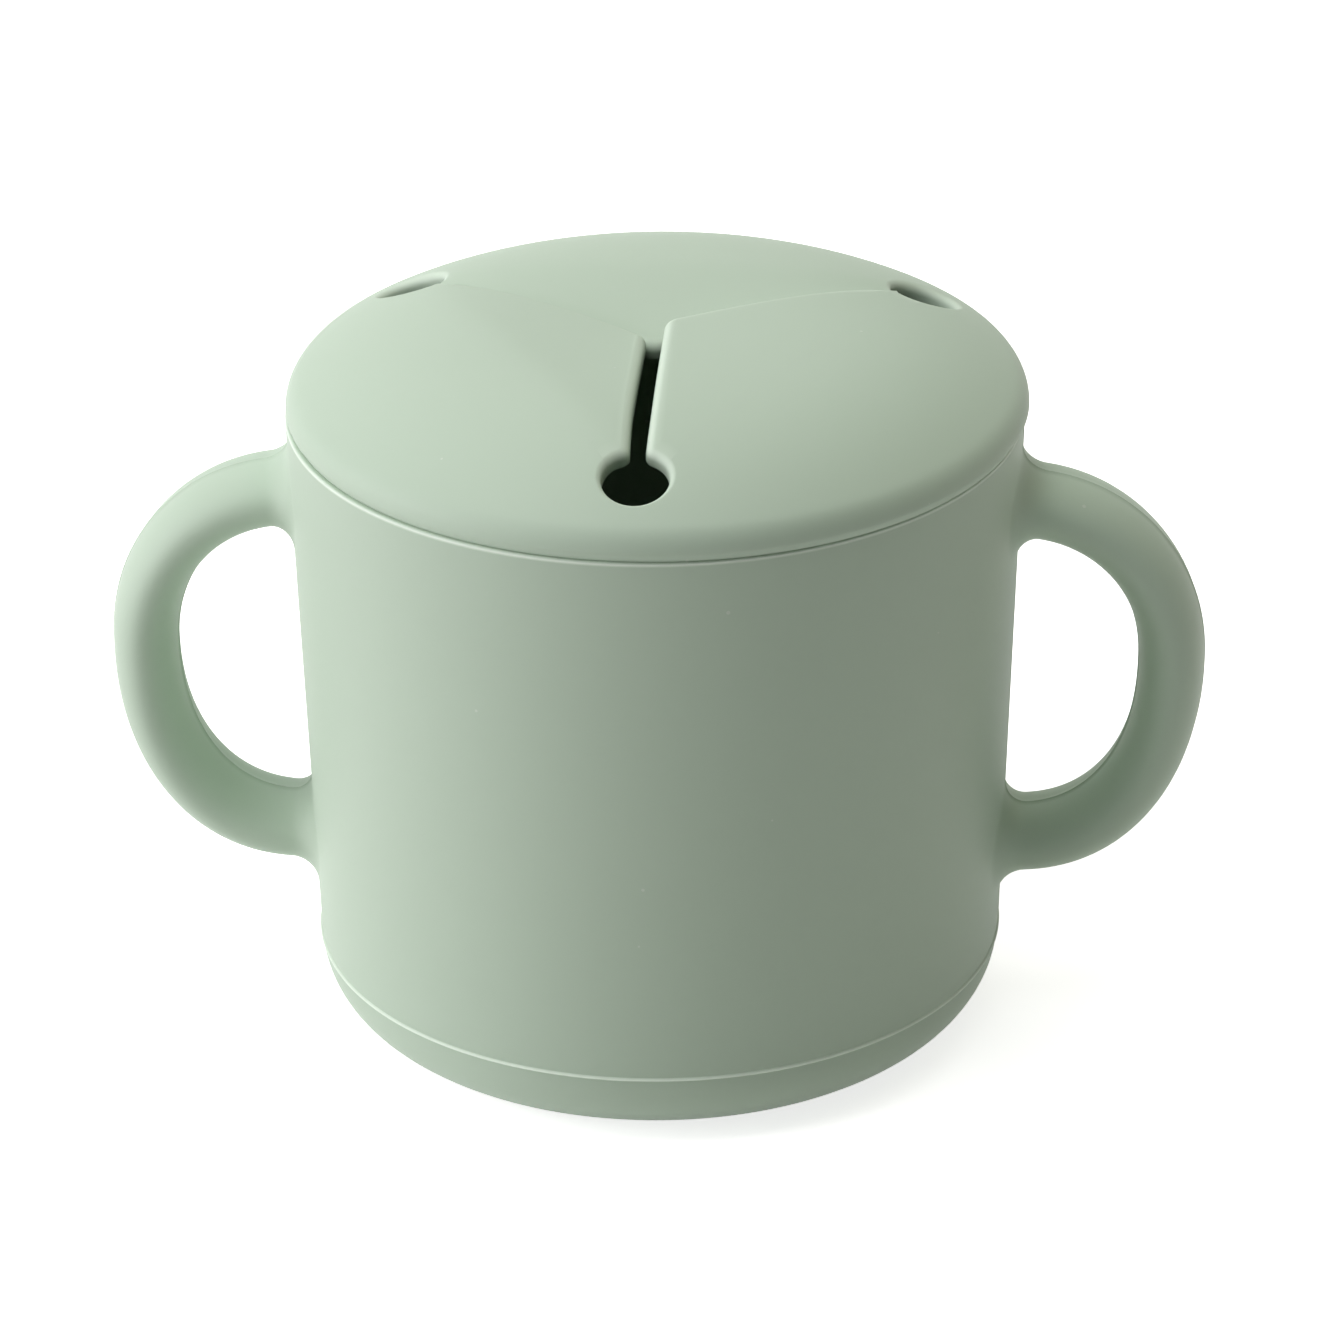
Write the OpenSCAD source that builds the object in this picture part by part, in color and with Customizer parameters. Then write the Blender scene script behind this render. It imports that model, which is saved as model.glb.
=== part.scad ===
// Toddler snack container: a two-handled silicone cup and a plug-in snack lid.
// The lid's crown is cut by radial slots into flaps that bend down for a hand going in and up for one coming out.
// Origin at the middle of the base, +Z up, the handles along X, one slot towards -Y. Millimetres.

/* [Cup] */
// Radius of the cup outside at its mouth
mouth_radius = 45; // [42:0.5:50]
// Height of the mouth, where the lid sits
cup_height = 80.3; // [74:0.1:90]
// How much smaller the radius is where the rounded base begins
cup_taper = 2.35; // [1:0.05:4]
// Thickness of the wall
wall = 2.3; // [1.9:0.1:2.8]
// Thickness of the floor
floor_thickness = 3; // [2:0.1:4.5]
// Height of the rounded base, up to the fine moulding ring
base_round_height = 10; // [7:0.5:13]
// How far the rounded base draws in
base_round_width = 10.5; // [7:0.5:13]
// Inside radius between wall and floor
floor_fillet = 8; // [5:0.5:10]
// How far the moulding ring stands out
ring_height = 0.15; // [0.1:0.05:0.4]
// Radius of the shallow recess under the base
recess_radius = 26; // [18:0.5:29]
// Depth of the recess under the base
recess_depth = 0.8; // [0.4:0.1:1.2]
// Rounding of the two edges that make the line between cup and lid
lip_round = 0.35; // [0.2:0.05:0.6]

/* [Handles] */
// How far the middle of the grip stands out from the mouth's radius
handle_reach = 18.65; // [15:0.05:24]
// Thickness of the grip, seen from the front
grip_thickness = 8; // [6:0.1:10]
// Width of the grip, seen from the side
grip_width = 14.4; // [10:0.1:18]
// Height of the middle of the upper arm where it joins the wall
handle_top = 68.4; // [60:0.1:70]
// Height of the middle of the grip at its widest
handle_middle = 47.8; // [42:0.1:52]
// Height of the middle of the lower arm where it joins the wall
handle_bottom = 22.5; // [20:0.1:28]
// Fillet where the arms run into the wall
handle_fillet = 3.2; // [1.5:0.1:4]

/* [Lid] */
// Height of the crown's middle above the mouth of the cup
crown_height = 11.1; // [9:0.1:13]
// How far the crown has dropped at its edge rounding
crown_drop = 5.9; // [4.5:0.1:7]
// Rounding of the crown's outer edge
crown_edge = 3.7; // [2.5:0.1:4.5]
// Thickness of the crown
crown_thickness = 2.2; // [1.6:0.1:2.6]
// How deep the skirt reaches into the cup
skirt_depth = 8; // [5:0.5:12]
// Thickness of the skirt
skirt_thickness = 1.5; // [1.2:0.1:2]
// Room between the skirt and the cup's wall
skirt_room = 0.45; // [0.3:0.05:0.7]
// Room between the sealing ribs and the cup's wall
rib_room = 0.15; // [0.1:0.05:0.25]
// Height of each sealing rib, along the skirt
rib_height = 1.4; // [1:0.1:2]

/* [Flaps] */
// Distance from the middle of the lid to the middle of each relief hole
hole_distance = 36.8; // [35.5:0.1:37.5]
// Radius of the relief holes
hole_radius = 4.05; // [3.2:0.05:4.3]
// Width of the slots
slot_width = 1.7; // [1.3:0.1:2.6]
// Width of the band that bends between the rim and each flap
hinge_width = 4; // [3.4:0.1:5]
// Rounding of each flap's tip
tip_round = 2; // [1:0.1:3.5]
// How far the right flap hangs below its moulded shape at rest, in degrees
droop_right = 0; // [0:0.5:12]
// How far the left flap hangs at rest, in degrees
droop_left = 7.5; // [0:0.5:12]
// How far the back flap hangs at rest, in degrees
droop_back = 10.5; // [0:0.5:12]

/* [Hidden] */
// Facets of round holes and of a full turn
$fn = 128;
// Room past a surface that a cut runs through
past = 1;

// Cup: the outside is a cone from the moulding ring to the mouth, which the inside follows
taper_slope = cup_taper / (cup_height - base_round_height);
mouth_inside = mouth_radius - wall;
function cup_outside(z) = mouth_radius - taper_slope * (cup_height - z);
function cup_inside(z) = cup_outside(z) - wall;
foot_radius = cup_outside(base_round_height) - base_round_width;
// Half the width of the moulding ring's foot
ring_foot = 0.2;
recess_edge = min(recess_radius, foot_radius - 2);

// Handles: the middle line starts inside the wall, half a millimetre in from the mouth's radius
root_radius = mouth_radius - 0.5;
grip_radius = mouth_radius + handle_reach;
arm_reach = grip_radius - root_radius;
// The upper half is nearly a quarter ellipse, the lower half a slightly squarer one
upper_power = 2.05;
lower_power = 2.2;
// Rings of the sweep along each half, which lie closer near the wall, and points round each ring
arm_rings = 18;
ring_crowding = 1.5;
ring_points = 24;
// How far the sweep runs on into the wall before it is cut to the wall's face, and its steps
root_run = 3.5;
root_steps = 7;

// Lid: the crown drops as a power of the radius, then rounds over to the upright side
crown_top = cup_height + crown_height;
crown_power = 3.7;
edge_centre = mouth_radius - crown_edge;
crown_steps = 18;
edge_steps = 8;
skirt_outside = mouth_inside - skirt_room;
skirt_inside = skirt_outside - skirt_thickness;
skirt_end = cup_height - skirt_depth;
// Heights of the sealing ribs, as shares of the skirt's depth
rib_shares = [0.35, 0.75];
skirt_lead = 0.6;

// Flaps: their bending lines are the chords between neighbouring relief holes
flap_count = 3;
slot_angles = [for (k = [0 : flap_count - 1]) -90 + k * 360 / flap_count];
half_turn = 180 / flap_count;
hinge_distance = hole_distance * cos(half_turn);
rim_edge = hinge_distance + hinge_width / 2;
flap_edge = hinge_distance - hinge_width / 2;
// The bending axis is level with the top of the crown at the waist of each band
waist_radius = norm([hinge_distance, hole_distance * sin(half_turn) - hole_radius]);
hinge_height = crown_at(waist_radius);
flap_right_at = -90 + half_turn;
flap_back_at = flap_right_at + 2 * half_turn;
flap_left_at = flap_back_at + 2 * half_turn;

silicone = [0.70, 0.77, 0.68];
silicone_lid = [0.73, 0.79, 0.71];

// ---- the crown's shape ----

function crown_at(r) = crown_top - crown_drop * pow(r / edge_centre, crown_power);
function crown_slope(r) = crown_drop * crown_power / edge_centre * pow(r / edge_centre, crown_power - 1);
// Angle at which the edge rounding takes over from the crown
function edge_angle(turns = 8, angle = 20) =
    turns == 0 ? angle : edge_angle(turns - 1, atan(crown_slope(edge_centre + crown_edge * sin(angle))));
edge_start = edge_angle();
edge_start_radius = edge_centre + crown_edge * sin(edge_start);
edge_centre_z = crown_at(edge_start_radius) - crown_edge * cos(edge_start);

// Outer face of the crown from its middle out to where the rounding starts
crown_face = [
    for (k = [0 : crown_steps])
        let (r = edge_start_radius * k / crown_steps)
            [r, crown_at(r)]
];
edge_face = [
    for (k = [1 : edge_steps])
        let (angle = edge_start + (90 - edge_start) * k / edge_steps)
            [edge_centre + crown_edge * sin(angle), edge_centre_z + crown_edge * cos(angle)]
];
// Inner face, one thickness below along the crown's own normal, as far as the skirt
inner_face_all = [
    for (p = crown_face)
        let (slope = crown_slope(p[0]), lean = sqrt(1 + slope * slope))
            [p[0] - crown_thickness * slope / lean, p[1] - crown_thickness / lean]
];
inner_face = [for (p = inner_face_all) if (p[0] < skirt_inside - 1) [max(p[0], 0), p[1]]];
under_skirt_z = inner_face[len(inner_face) - 1][1] - 1;

function lip_arc(centre, from, to, steps = 4) = [
    for (k = [0 : steps])
        let (angle = from + (to - from) * k / steps)
            [centre[0] + lip_round * cos(angle), centre[1] + lip_round * sin(angle)]
];
function reversed(list) = [for (k = [len(list) - 1 : -1 : 0]) list[k]];

// ---- cup ----

base_steps = 10;
cup_profile = concat(
    [[0, recess_depth], [recess_edge - recess_depth, recess_depth], [recess_edge, 0], [foot_radius, 0]],
    [
        for (k = [1 : base_steps])
            let (angle = 90 * k / base_steps)
                [
                    foot_radius + base_round_width * sin(angle),
                    (base_round_height - ring_foot) * (1 - cos(angle))
                ]
    ],
    [
        [cup_outside(base_round_height) + ring_height, base_round_height],
        [cup_outside(base_round_height + ring_foot), base_round_height + ring_foot]
    ],
    lip_arc([mouth_radius - lip_round, cup_height - lip_round], 0, 90),
    lip_arc([mouth_inside + lip_round, cup_height - lip_round], 90, 180),
    [
        for (k = [0 : base_steps])
            let (angle = 90 * k / base_steps, corner = floor_thickness + floor_fillet)
                [
                    cup_inside(corner) - floor_fillet * (1 - cos(angle)),
                    corner - floor_fillet * sin(angle)
                ]
    ],
    [[0, floor_thickness]]
);

module cup() {
    color(silicone) rotate_extrude() polygon(cup_profile);
}

// ---- handles ----

// Signed power, for the rounded outlines
function curve(value, power) = sign(value) * pow(abs(value), 2 / power);

// Points of the middle line, from inside the wall round the grip and back
grip_line = concat(
    [for (k = [root_steps : -1 : 1]) [root_radius - root_run * k / root_steps, handle_top]],
    [
        for (k = [0 : arm_rings])
            let (angle = 90 * (1 - pow(k / arm_rings, ring_crowding)))
                [
                    root_radius + arm_reach * curve(cos(angle), upper_power),
                    handle_middle + (handle_top - handle_middle) * curve(sin(angle), upper_power)
                ]
    ],
    [
        for (k = [1 : arm_rings])
            let (angle = -90 * (1 - pow(1 - k / arm_rings, ring_crowding)))
                [
                    root_radius + arm_reach * curve(cos(angle), lower_power),
                    handle_middle + (handle_middle - handle_bottom) * curve(sin(angle), lower_power)
                ]
    ],
    [for (k = [1 : root_steps]) [root_radius - root_run * k / root_steps, handle_bottom]]
);

// Distance from the axis of the cup's outside, straight out along X, at a sideways and an upright place
function wall_at(y, z) = sqrt(pow(cup_outside(z), 2) - y * y);

// Growth of the section at a distance from the wall: a quarter round that ends flat on the wall
function flare(gap) =
    gap >= handle_fillet ? 0
    : handle_fillet - sqrt(pow(handle_fillet, 2) - pow(handle_fillet - max(gap, 0), 2));

function line_direction(k) =
    let (
        before = grip_line[max(k - 1, 0)],
        after = grip_line[min(k + 1, len(grip_line) - 1)],
        step = after - before
    )
        step / norm(step);

// One ring of the sweep: an upright oval across the middle line, grown where it nears the wall
function section(k) =
    let (
        middle = grip_line[k],
        along = line_direction(k),
        across = [along[1], -along[0]]
    )
        [
            for (j = [0 : ring_points - 1])
                let (
                    angle = 360 * j / ring_points,
                    plain_out = grip_thickness / 2 * cos(angle),
                    plain_side = grip_width / 2 * sin(angle),
                    plain = middle + across * plain_out,
                    grown = flare(plain[0] - wall_at(plain_side, plain[1])),
                    place = plain + across * grown * cos(angle)
                )
                    [place[0], plain_side + grown * sin(angle), place[1]]
        ];

module swept_handle() {
    rings = len(grip_line);
    points = [for (k = [0 : rings - 1]) each section(k)];
    sides = [
        for (k = [0 : rings - 2], j = [0 : ring_points - 1])
            let (
                a = k * ring_points + j,
                b = k * ring_points + (j + 1) % ring_points
            )
                each [[a, b, b + ring_points], [a, b + ring_points, a + ring_points]]
    ];
    first_cap = [for (j = [ring_points - 1 : -1 : 0]) j];
    last_cap = [for (j = [0 : ring_points - 1]) (rings - 1) * ring_points + j];
    polyhedron(points, concat([first_cap], sides, [last_cap]));
}

// The cup's outside as a plain cone, which the arms are cut to
module wall_cone() {
    rotate_extrude() polygon([
        [0, base_round_height],
        [cup_outside(base_round_height), base_round_height],
        [mouth_radius, cup_height],
        [0, cup_height]
    ]);
}

module handle() {
    difference() {
        swept_handle();
        wall_cone();
    }
}

module right_handle() {
    color(silicone) handle();
}

module left_handle() {
    color(silicone) mirror([1, 0, 0]) handle();
}

// ---- lid ----

skirt_outer_face = [
    for (share = rib_shares)
        let (z = cup_height - skirt_depth * share, rib = skirt_room - rib_room, r = z_skirt(z))
            each [[r, z + rib_height / 2], [r + rib, z], [r, z - rib_height / 2]]
];
function z_skirt(z) = cup_inside(z) - skirt_room;

lid_profile = concat(
    crown_face,
    edge_face,
    lip_arc([mouth_radius - lip_round, cup_height + lip_round], 0, -90),
    [[z_skirt(cup_height), cup_height]],
    skirt_outer_face,
    [
        [z_skirt(skirt_end), skirt_end + skirt_lead],
        [z_skirt(skirt_end) - skirt_lead, skirt_end],
        [skirt_inside, skirt_end],
        [skirt_inside, under_skirt_z]
    ],
    reversed(inner_face)
);

module lid_blank() {
    rotate_extrude() polygon(lid_profile);
}

// Runs through the crown at every hole and slot
cut_low = cup_height - past;
cut_tall = crown_height + 2 * past;

module relief_holes() {
    for (angle = slot_angles)
        rotate([0, 0, angle])
            translate([hole_distance, 0, cut_low])
                cylinder(r = hole_radius, h = cut_tall, $fn = 48);
}

module slots() {
    for (angle = slot_angles)
        rotate([0, 0, angle])
            translate([0, -slot_width / 2, cut_low])
                cube([hole_distance, slot_width, cut_tall]);
}

// The part of the crown inside the bending bands' outer edges: a triangle with a relief hole at each corner
module flexing_region() {
    translate([0, 0, cut_low])
        linear_extrude(cut_tall)
            polygon([for (angle = slot_angles) rim_edge / cos(half_turn) * [cos(angle), sin(angle)]]);
}

module lid_rim() {
    color(silicone_lid) difference() {
        lid_blank();
        flexing_region();
        relief_holes();
    }
}

// A flap seen from above, with its bending line across +X and its tip at the middle of the lid
tip_centre = slot_width / 2 / sin(half_turn) + tip_round / sin(half_turn);
side_at_edge = flap_edge * tan(half_turn) - slot_width / 2 / cos(half_turn);
tip_steps = 6;
flap_outline = concat(
    [[flap_edge, -side_at_edge], [flap_edge, side_at_edge]],
    [
        for (k = [0 : tip_steps])
            let (angle = (half_turn - 90) * (2 * k / tip_steps - 1))
                [tip_centre - tip_round * cos(angle), tip_round * sin(angle)]
    ]
);

// Turns its children about a flap's bending axis, tip downwards
module drooped(angle) {
    translate([hinge_distance, 0, hinge_height])
        rotate([0, -angle, 0])
            translate([-hinge_distance, 0, -hinge_height])
                children();
}

module flap(direction, droop) {
    rotate([0, 0, direction])
        drooped(droop)
            intersection() {
                lid_blank();
                translate([0, 0, cut_low]) linear_extrude(cut_tall) polygon(flap_outline);
            }
}

// The band between the rim's edge and the flap's edge, waisted by the relief holes
module hinge_band(direction, droop) {
    band_half = hole_distance * sin(half_turn);
    difference() {
        rotate([0, 0, direction])
            difference() {
                intersection() {
                    lid_blank();
                    translate([flap_edge - past, -band_half, cut_low])
                        cube([hinge_width + past, 2 * band_half, cut_tall]);
                }
                drooped(droop)
                    translate([flap_edge - 4 * past, -band_half - past, cut_low - past])
                        cube([4 * past, 2 * (band_half + past), cut_tall + 2 * past]);
            }
        relief_holes();
        slots();
    }
}

module flap_right() {
    color(silicone_lid) flap(flap_right_at, droop_right);
}

module flap_left() {
    color(silicone_lid) flap(flap_left_at, droop_left);
}

module flap_back() {
    color(silicone_lid) flap(flap_back_at, droop_back);
}

module hinge_right() {
    color(silicone_lid) hinge_band(flap_right_at, droop_right);
}

module hinge_left() {
    color(silicone_lid) hinge_band(flap_left_at, droop_left);
}

module hinge_back() {
    color(silicone_lid) hinge_band(flap_back_at, droop_back);
}

cup();
left_handle();
right_handle();
lid_rim();
flap_right();
flap_left();
flap_back();
hinge_right();
hinge_left();
hinge_back();
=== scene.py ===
# %% [markdown]
# # A toddler's snack cup
#
# The real thing is two soft silicone mouldings: a cup with two ears, and a snack lid that plugs into its
# mouth. The construction model already holds the solids, the bodies and the joints of the lid. This lesson
# gives it the looks: smooth moulded skins that bend where silicone bends, the matte finish, a floor, soft
# light and a camera. The construction model is loaded first, because every piece is placed by it.

# %% Load the construction model
import math

import bmesh
import bpy
import numpy as np
from mathutils import Matrix, Vector


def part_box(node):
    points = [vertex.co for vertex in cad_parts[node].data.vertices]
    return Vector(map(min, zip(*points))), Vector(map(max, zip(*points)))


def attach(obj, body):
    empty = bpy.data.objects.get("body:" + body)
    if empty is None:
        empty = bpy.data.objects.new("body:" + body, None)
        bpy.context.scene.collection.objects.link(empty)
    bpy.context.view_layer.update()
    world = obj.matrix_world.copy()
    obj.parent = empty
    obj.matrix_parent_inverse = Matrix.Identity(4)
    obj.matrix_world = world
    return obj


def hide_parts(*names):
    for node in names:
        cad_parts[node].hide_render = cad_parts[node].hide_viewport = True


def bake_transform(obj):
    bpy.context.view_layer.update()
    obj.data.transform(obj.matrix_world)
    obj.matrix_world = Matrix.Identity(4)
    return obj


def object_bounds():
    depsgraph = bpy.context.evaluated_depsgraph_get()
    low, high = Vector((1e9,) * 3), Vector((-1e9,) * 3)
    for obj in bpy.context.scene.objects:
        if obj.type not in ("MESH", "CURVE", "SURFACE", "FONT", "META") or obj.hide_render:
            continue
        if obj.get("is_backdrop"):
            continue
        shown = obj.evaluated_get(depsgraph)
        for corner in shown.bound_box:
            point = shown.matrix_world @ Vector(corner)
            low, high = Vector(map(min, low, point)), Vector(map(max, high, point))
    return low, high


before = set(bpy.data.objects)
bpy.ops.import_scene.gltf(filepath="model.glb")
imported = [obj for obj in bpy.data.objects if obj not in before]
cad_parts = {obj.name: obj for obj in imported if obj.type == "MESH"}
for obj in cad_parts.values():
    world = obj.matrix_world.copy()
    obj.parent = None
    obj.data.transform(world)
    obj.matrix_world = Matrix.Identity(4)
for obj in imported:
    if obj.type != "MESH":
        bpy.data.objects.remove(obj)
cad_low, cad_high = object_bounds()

MM = 0.001
print("construction model, mm:", [round(v / MM, 1) for v in (*cad_low, *cad_high)])

# %% [markdown]
# ## Sizes
#
# The skins have to land exactly where the construction solids are. Their sizes could all be typed in again,
# but what a node's box tells is read off that box, so that it follows the construction model. What a box
# can't tell, such as a draft or a fillet, is named where it is first needed. All the geometry below is
# worked out in millimetres and turned into metres when a mesh is made.

# %% Sizes of the cup


def box_mm(node):
    """Lowest and highest corner of a construction node, in millimetres."""
    low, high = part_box(node)
    return np.array(low) / MM, np.array(high) / MM


_, cup_high = box_mm("cup")
mouth_radius = cup_high[0]
mouth_height = cup_high[2]
cup_taper = 2.35
base_round_height = 10.0
base_round_width = 10.5
wall = 2.3
print("cup radius and height:", mouth_radius, mouth_height)

# %% [markdown]
# ## One way to make every skin
#
# A moulding is smooth and closed, and its edges are rounded by the mould. Box modelling with a subdivision
# modifier would do, but it rounds everything by the same rule and leaves the exact sizes to luck. Here each
# skin is laid out as sheets of points, rows by columns, which follow the real section. A small class gathers
# the sheets, joins them where they share points, and makes the mesh.

# %% A gatherer for sheets of points

weld_distance = 1e-7
sharp_angle = 50


class Moulding:
    """Points, in millimetres, and faces of one skin."""

    def __init__(self, turn=0.0, shift=(0, 0)):
        self.points = []
        self.painted_highlight = []
        self.faces = []
        self.turn = turn
        self.shift = shift

    def add(self, places, painted_highlight=0.0):
        """Adds an array of places, with how much painted highlight each gets, 0 to 1, and returns their
        numbers.
        """
        places = np.asarray(places, float)
        first = len(self.points)
        self.points.extend(places.reshape(-1, 3).tolist())
        self.painted_highlight.extend(np.broadcast_to(painted_highlight, places.shape[:-1]).reshape(-1).tolist())
        return np.arange(first, len(self.points)).reshape(places.shape[:-1])

    def sheet(self, grid, closed=False, holes=None):
        """Faces between the rows and columns of a grid of point numbers, apart from cells marked as holes."""
        grid = np.asarray(grid)
        if closed:
            grid = np.concatenate([grid, grid[:, :1]], axis=1)
        for r in range(grid.shape[0] - 1):
            for c in range(grid.shape[1] - 1):
                if holes is None or not holes[r, c]:
                    self.faces.append((grid[r, c], grid[r, c + 1], grid[r + 1, c + 1], grid[r + 1, c]))

    def fan(self, centre, ring):
        """Triangles from one point to a closed ring."""
        for k in range(len(ring)):
            self.faces.append((centre, ring[k], ring[(k + 1) % len(ring)]))

    def piece(self, name):
        """The Blender object: doubles joined, unused points dropped, faces outwards and shaded smooth."""
        used = np.unique([v for face in self.faces for v in face])
        number = {old: new for new, old in enumerate(used.tolist())}
        places = np.array(self.points)[used]
        c, s = math.cos(self.turn), math.sin(self.turn)
        places[:, :2] = places[:, :2] @ np.array([[c, s], [-s, c]]) + self.shift
        faces = [[number[int(v)] for v in face] for face in self.faces]
        mesh = bpy.data.meshes.new(name)
        mesh.from_pydata((places * MM).tolist(), [], faces)
        # Each point's painted highlight is kept on the mesh for the finish to use.
        mesh.attributes.new("painted_highlight", "FLOAT", "POINT").data.foreach_set("value", np.array(self.painted_highlight)[used])
        build = bmesh.new()
        build.from_mesh(mesh)
        bmesh.ops.remove_doubles(build, verts=build.verts, dist=weld_distance)
        bmesh.ops.recalc_face_normals(build, faces=build.faces)
        open_edges = sum(1 for edge in build.edges if len(edge.link_faces) != 2)
        build.to_mesh(mesh)
        build.free()
        mesh.shade_smooth()
        mesh.set_sharp_from_angle(angle=math.radians(sharp_angle))
        obj = bpy.data.objects.new(name, mesh)
        bpy.context.scene.collection.objects.link(obj)
        print(f"{name}: {len(mesh.vertices)} points, {len(mesh.polygons)} faces, {open_edges} open edges")
        return obj


def arc(centre, radius, start, stop, steps):
    """Points of a round stretch from one angle to another, in degrees."""
    angles = np.radians(np.linspace(start, stop, steps + 1))
    return [(centre[0] + radius * math.cos(a), centre[1] + radius * math.sin(a)) for a in angles]


# %% [markdown]
# ## The cup
#
# Wall, rounded base, lip and inside could be one solid with a rounding tool run over its edges. Here they
# are one section turned about the axis, so each rounding has its own size. The outside is drawn in a little
# towards the base, so that the moulding leaves its mould. A fine raised ring shows where the base of the
# mould met its sides, and a parting line runs up both flanks and round the ears, where its two halves met.

# %% The section of the cup, from under the base to the ring


def wall_radius(z):
    """Radius of the cup's outside at a height above the base."""
    return mouth_radius - cup_taper * (mouth_height - z) / (mouth_height - base_round_height)


foot_radius = wall_radius(base_round_height) - base_round_width
recess_radius = 26.0
recess_depth = 0.8
recess_rings = (6.0, 12.0, 18.0, 23.0)
ground_start = recess_radius + 0.35
ground_middle = 29.0
ring_ridge = 0.25
ring_half = 0.25
ring_shares = (-0.8, -0.4, 0.0, 0.4, 0.8)

under_base = [(r, recess_depth) for r in recess_rings]
under_base += arc((recess_radius - recess_depth, 0.0), recess_depth, 90, 12, steps=5)
under_base += [(ground_start, 0.0), (ground_middle, 0.0), (foot_radius, 0.0)]
base_round = [
    (foot_radius + base_round_width * math.sin(a), (base_round_height - ring_half) * (1 - math.cos(a)))
    for a in np.radians(np.linspace(5, 90, 18))
]
base_ring = [
    (
        wall_radius(base_round_height) + ring_ridge * math.cos(math.pi / 2 * s),
        base_round_height + ring_half * s,
    )
    for s in ring_shares
]
print("foot radius:", round(foot_radius, 2), "points:", len(under_base) + len(base_round) + len(base_ring))

# %% Rows and columns of the wall, with a window for each root of an ear

lip_round = 0.35
wall_start = base_round_height + ring_half
wall_stop = mouth_height - lip_round
end_rows, middle_rows, flank_columns = 3, 16, 74
window_half_angle = math.radians(16.5)
window_half_height = 9.2
window_rows, window_columns = 16, 18
ridge_half_angle = math.radians(0.32)
ear_top, ear_middle, ear_bottom = 68.4, 47.8, 22.5
roots = {"upper": ear_top, "lower": ear_bottom}

lower_rows = np.linspace(ear_bottom - window_half_height, ear_bottom + window_half_height, window_rows + 1)
upper_rows = np.linspace(ear_top - window_half_height, ear_top + window_half_height, window_rows + 1)
wall_rows = np.concatenate([
    np.linspace(wall_start, lower_rows[0], end_rows)[:-1],
    lower_rows,
    np.linspace(lower_rows[-1], upper_rows[0], middle_rows)[1:-1],
    upper_rows,
    np.linspace(upper_rows[-1], wall_stop, end_rows)[1:],
])
half_columns = np.linspace(0, window_half_angle, window_columns // 2)[1:]
window_angles = np.concatenate([-half_columns[::-1], [-ridge_half_angle, 0, ridge_half_angle], half_columns])
flank = np.linspace(window_half_angle, math.pi - window_half_angle, flank_columns)[1:-1]
columns = np.concatenate([window_angles, flank, math.pi + window_angles, math.pi + flank])
print("wall from", wall_start, "to", round(wall_stop, 2), "rows and columns:", len(wall_rows), len(columns))

# %% The whole section, turned about the axis

seam_ridge = 0.12
floor_thickness = 3.0
floor_fillet = 8.0
floor_rings = (24.0, 16.0, 8.0)
inside_margin = 4
inside_round_top = floor_thickness + floor_fillet
inside_radius = wall_radius(inside_round_top) - wall
inside_rows = np.linspace(mouth_height - inside_margin, inside_round_top + inside_margin, 16)

section = under_base + base_round + base_ring
first_wall_row = len(section)
section += [(wall_radius(z), z) for z in wall_rows]
last_wall_row = len(section) - 1
section += arc((mouth_radius - lip_round, mouth_height - lip_round), lip_round, 15, 90, steps=5)
section += arc((mouth_radius - wall + lip_round, mouth_height - lip_round), lip_round, 90, 180, steps=5)
section += [(wall_radius(z) - wall, z) for z in inside_rows]
section += arc((inside_radius - floor_fillet, inside_round_top), floor_fillet, 0, -90, steps=12)
section += [(r, floor_thickness) for r in floor_rings]

section = np.array(section)
radius, height = section[:, :1], section[:, 1:]
cup_places = np.stack([
    radius * np.cos(columns), radius * np.sin(columns), np.repeat(height, len(columns), 1)
], axis=-1)
middle_columns = [int(np.argmin(abs(columns))), int(np.argmin(abs(columns - math.pi)))]
for c in middle_columns:
    outward = np.array([math.cos(columns[c]), math.sin(columns[c]), 0])
    cup_places[first_wall_row:last_wall_row, c] += seam_ridge * outward
print("points in the cup's section:", len(section))

# %% The wall, inside and base of the cup, with the windows left open

cup = Moulding()
cup_grid = cup.add(cup_places)
window_cells = np.zeros((len(section), len(columns)), bool)
windows = {}
for side, turn in (("right", 0.0), ("left", math.pi)):
    first = int(np.argmin(abs(columns - turn + window_half_angle)))
    for root, z in roots.items():
        low = first_wall_row + int(np.argmin(abs(wall_rows - z + window_half_height)))
        rows, across = slice(low, low + window_rows), slice(first, first + len(window_angles) - 1)
        window_cells[rows, across] = True
        windows[side, root] = cup_grid[low:low + window_rows + 1, first:first + len(window_angles)]
cup.sheet(cup_grid, closed=True, holes=window_cells)
cup.fan(cup.add([(0, 0, recess_depth)])[0], cup_grid[0])
cup.fan(cup.add([(0, 0, floor_thickness)])[0], cup_grid[-1])
print("faces of the cup without its ears:", len(cup.faces), "windows:", len(windows))

# %% [markdown]
# ## The ears
#
# The ears are moulded with the cup and grow out of its wall. A boolean would leave a crease there, so the
# wall's sheet has four windows, and each ear is one sheet that starts at the edge of a window, runs over the
# wall, turns through the fillet, follows the ear round and ends in the lower window.

# %% The middle line of an ear, measured along its length

_, ear_high = box_mm("right_handle")
ear_fillet = 3.2
ear_thickness = 8.0
ear_width = 2 * (ear_high[1] - ear_fillet)
ear_root = mouth_radius - 0.5
ear_reach = ear_high[0] - ear_thickness / 2 - ear_root
upper_power, lower_power = 2.05, 2.2
run_in = 4.0
line_points = 721


def squared(value, power):
    """Cosine or sine of an oval that is a little squarer than an ellipse when power is over 2."""
    return abs(value) ** (2 / power)


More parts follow.
